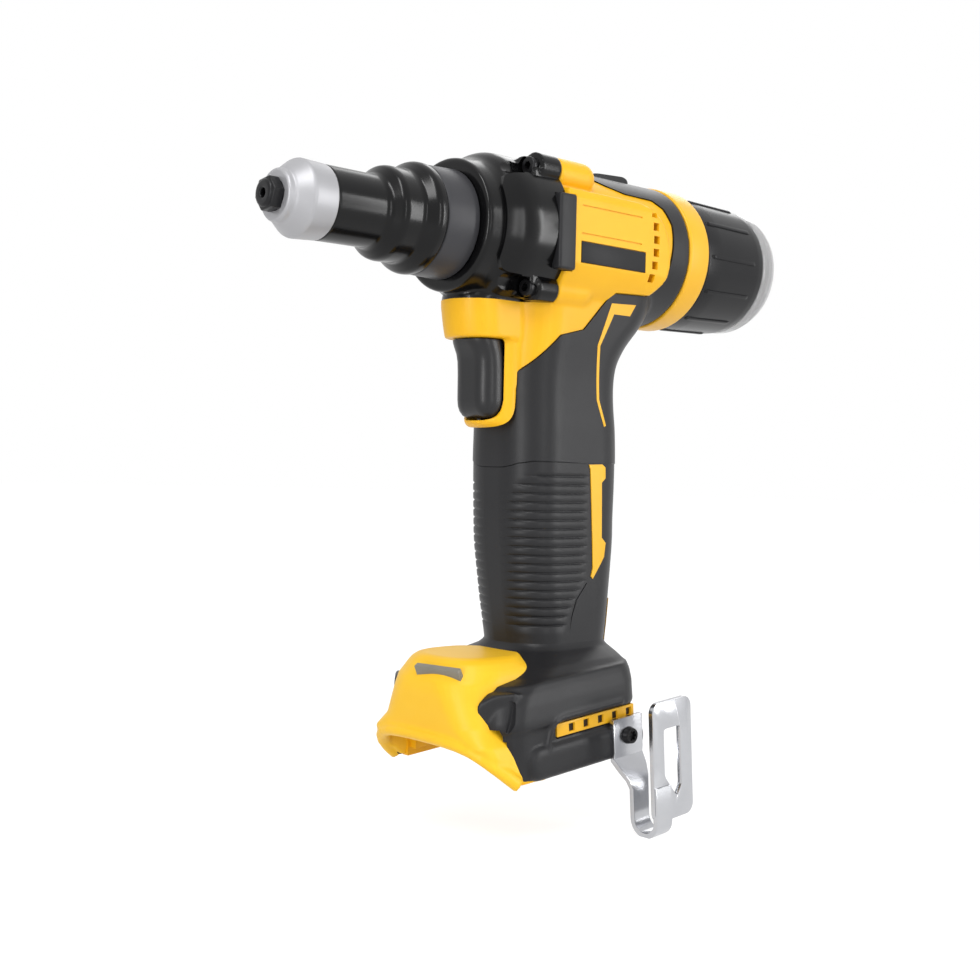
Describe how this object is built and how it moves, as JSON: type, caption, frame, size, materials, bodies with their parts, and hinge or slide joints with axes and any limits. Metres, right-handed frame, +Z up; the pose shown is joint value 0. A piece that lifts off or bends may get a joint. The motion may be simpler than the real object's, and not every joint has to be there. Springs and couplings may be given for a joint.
{
  "type": "battery rivet tool",
  "caption": "Pistol-shaped battery blind-rivet tool without its battery: stepped nose, ribbed grip, trigger, slotted foot, belt hook and a clear-rimmed mandrel cup at the rear.",
  "frame": {"origin": "mouth of the nosepiece's mandrel hole, on the barrel's axis", "axes": "+X out of the nose along the barrel, +Y to the tool's left, +Z up; the grip hangs down -Z"},
  "size_m": [0.262, 0.0955, 0.2667],
  "materials": {
    "blackened_steel": "black oxide steel, satin",
    "satin_nickel": "matt nickel-plated steel, fine turned grain",
    "gloss_black": "glossy black glass-filled nylon and paint, soft highlights",
    "satin_grey": "satin dark grey sleeve",
    "soft_grey": "soft dark grey bumper",
    "body_yellow": "moulded yellow nylon, fine spark texture",
    "grip_charcoal": "charcoal soft overmould, matt with fine ribs",
    "pad_black": "soft black pad",
    "ring_yellow": "moulded yellow ring, slightly glossy",
    "cup_black": "black moulded cup, semi-gloss",
    "clear_plastic": "clear plastic rim",
    "inlay_yellow": "yellow trim, satin",
    "label_grey": "bare dark grey plate, satin",
    "trigger_black": "glossy black trigger",
    "spring_steel": "bright spring wire",
    "switch_black": "black switch case",
    "terminal_black": "black terminal block",
    "contact_brass": "tinned brass blades",
    "board_green": "lacquered circuit board",
    "hood_yellow": "moulded yellow hood, fine texture",
    "plate_grey": "small grey plate, matt",
    "hook_steel": "bright polished spring steel",
    "tool_steel": "hardened tool steel",
    "ground_steel": "ground bearing steel",
    "gear_steel": "sintered gear steel, oiled",
    "lamination": "stacked electrical steel",
    "copper_wire": "enamelled copper windings",
    "fan_black": "moulded black fan",
    "mount_black": "black glass-filled mount"
  },
  "bodies": {
    "tool": {"nosepiece": "blackened_steel", "nose_cone": "satin_nickel", "nose_housing": "gloss_black", "lock_collar": "satin_grey", "gear_housing": "gloss_black", "housing_screws": "blackened_steel", "bumper_left": "soft_grey", "bumper_right": "soft_grey", "housing_left": "body_yellow", "housing_right": "body_yellow", "case_screws": "blackened_steel", "grip_left": "grip_charcoal", "grip_right": "grip_charcoal", "top_pad": "pad_black", "rear_ring": "ring_yellow", "inlay_left": "inlay_yellow", "inlay_right": "inlay_yellow", "label_left": "label_grey", "label_right": "label_grey", "trigger_spring": "spring_steel", "switch_body": "switch_black", "terminal_block": "terminal_black", "terminal_blades": "contact_brass", "control_board": "board_green", "vent_strip_left": "inlay_yellow", "vent_strip_right": "inlay_yellow", "foot_hood": "hood_yellow", "hood_plate": "plate_grey", "belt_hook": "hook_steel", "hook_screw": "blackened_steel", "thrust_race": "ground_steel", "thrust_balls": "ground_steel", "ring_gear": "gear_steel", "stator_core": "lamination", "stator_coils": "copper_wire", "motor_bearings": "ground_steel", "motor_mount": "mount_black", "rear_holder": "mount_black", "guide_tube": "ground_steel"},
    "trigger": {"trigger": "trigger_black"},
    "rotor": {"rotor_shaft": "ground_steel", "rotor_core": "lamination", "motor_fan": "fan_black"},
    "first_stage": {"first_carrier": "gear_steel"},
    "first_planet_a": {"first_planet_a": "gear_steel"},
    "first_planet_b": {"first_planet_b": "gear_steel"},
    "first_planet_c": {"first_planet_c": "gear_steel"},
    "output": {"output_carrier": "gear_steel", "ball_nut": "ground_steel"},
    "output_planet_a": {"output_planet_a": "gear_steel"},
    "output_planet_b": {"output_planet_b": "gear_steel"},
    "output_planet_c": {"output_planet_c": "gear_steel"},
    "pull": {"pulling_head": "tool_steel", "ball_screw": "ground_steel", "key_ring": "tool_steel", "jaw_spring": "spring_steel"},
    "jaws": {"jaws": "tool_steel", "jaw_pusher": "tool_steel"},
    "cup": {"mandrel_cup": "cup_black", "cup_rim": "clear_plastic"}
  },
  "joints": [
    {"name": "trigger_pull", "type": "slide", "parent": "tool", "child": "trigger", "axis": [-1, 0, 0], "range_m": [0, 0.006], "stiffness_N_per_m": 400, "deforming": ["trigger_spring"]},
    {"name": "rotor_spin", "type": "hinge", "parent": "tool", "child": "rotor", "pos_m": [-0.155, 0, 0], "axis": [-1, 0, 0], "range_deg": [0, 31680]},
    {"name": "first_stage_spin", "type": "hinge", "parent": "tool", "child": "first_stage", "pos_m": [-0.1215, 0, 0], "axis": [-1, 0, 0], "range_deg": [0, 9748]},
    {"name": "first_planet_a_spin", "type": "hinge", "parent": "first_stage", "child": "first_planet_a", "pos_m": [-0.12825, 0, 0.0156], "axis": [-1, 0, 0], "range_deg": [-35093, 0]},
    {"name": "first_planet_b_spin", "type": "hinge", "parent": "first_stage", "child": "first_planet_b", "pos_m": [-0.12825, -0.01351, -0.0078], "axis": [-1, 0, 0], "range_deg": [-35093, 0]},
    {"name": "first_planet_c_spin", "type": "hinge", "parent": "first_stage", "child": "first_planet_c", "pos_m": [-0.12825, 0.01351, -0.0078], "axis": [-1, 0, 0], "range_deg": [-35093, 0]},
    {"name": "output_spin", "type": "hinge", "parent": "tool", "child": "output", "pos_m": [-0.1, 0, 0], "axis": [-1, 0, 0], "range_deg": [0, 3000]},
    {"name": "output_planet_a_spin", "type": "hinge", "parent": "output", "child": "output_planet_a", "pos_m": [-0.11625, 0, 0.0156], "axis": [-1, 0, 0], "range_deg": [-10799, 0]},
    {"name": "output_planet_b_spin", "type": "hinge", "parent": "output", "child": "output_planet_b", "pos_m": [-0.11625, -0.01351, -0.0078], "axis": [-1, 0, 0], "range_deg": [-10799, 0]},
    {"name": "output_planet_c_spin", "type": "hinge", "parent": "output", "child": "output_planet_c", "pos_m": [-0.11625, 0.01351, -0.0078], "axis": [-1, 0, 0], "range_deg": [-10799, 0]},
    {"name": "pull_stroke", "type": "slide", "parent": "tool", "child": "pull", "axis": [-1, 0, 0], "range_m": [0, 0.025]},
    {"name": "jaw_slide", "type": "slide", "parent": "pull", "child": "jaws", "axis": [-1, 0, 0], "range_m": [0, 0.002], "stiffness_N_per_m": 1500, "deforming": ["jaw_spring"]},
    {"name": "cup_twist", "type": "hinge", "parent": "tool", "child": "cup", "pos_m": [-0.206, 0, 0], "axis": [-1, 0, 0], "range_deg": [0, 45]}
  ],
  "couplings": [
    {"joint": "first_stage_spin", "follows": "rotor_spin", "ratio": 0.30769},
    {"joint": "output_spin", "follows": "rotor_spin", "ratio": 0.094675},
    {"joint": "pull_stroke", "follows": "rotor_spin", "m_per_rad": 0.000045204},
    {"joint": "first_planet_a_spin", "follows": "rotor_spin", "ratio": -1.1077},
    {"joint": "output_planet_a_spin", "follows": "rotor_spin", "ratio": -0.34083},
    {"joint": "first_planet_b_spin", "follows": "rotor_spin", "ratio": -1.1077},
    {"joint": "output_planet_b_spin", "follows": "rotor_spin", "ratio": -0.34083},
    {"joint": "first_planet_c_spin", "follows": "rotor_spin", "ratio": -1.1077},
    {"joint": "output_planet_c_spin", "follows": "rotor_spin", "ratio": -0.34083}
  ]
}
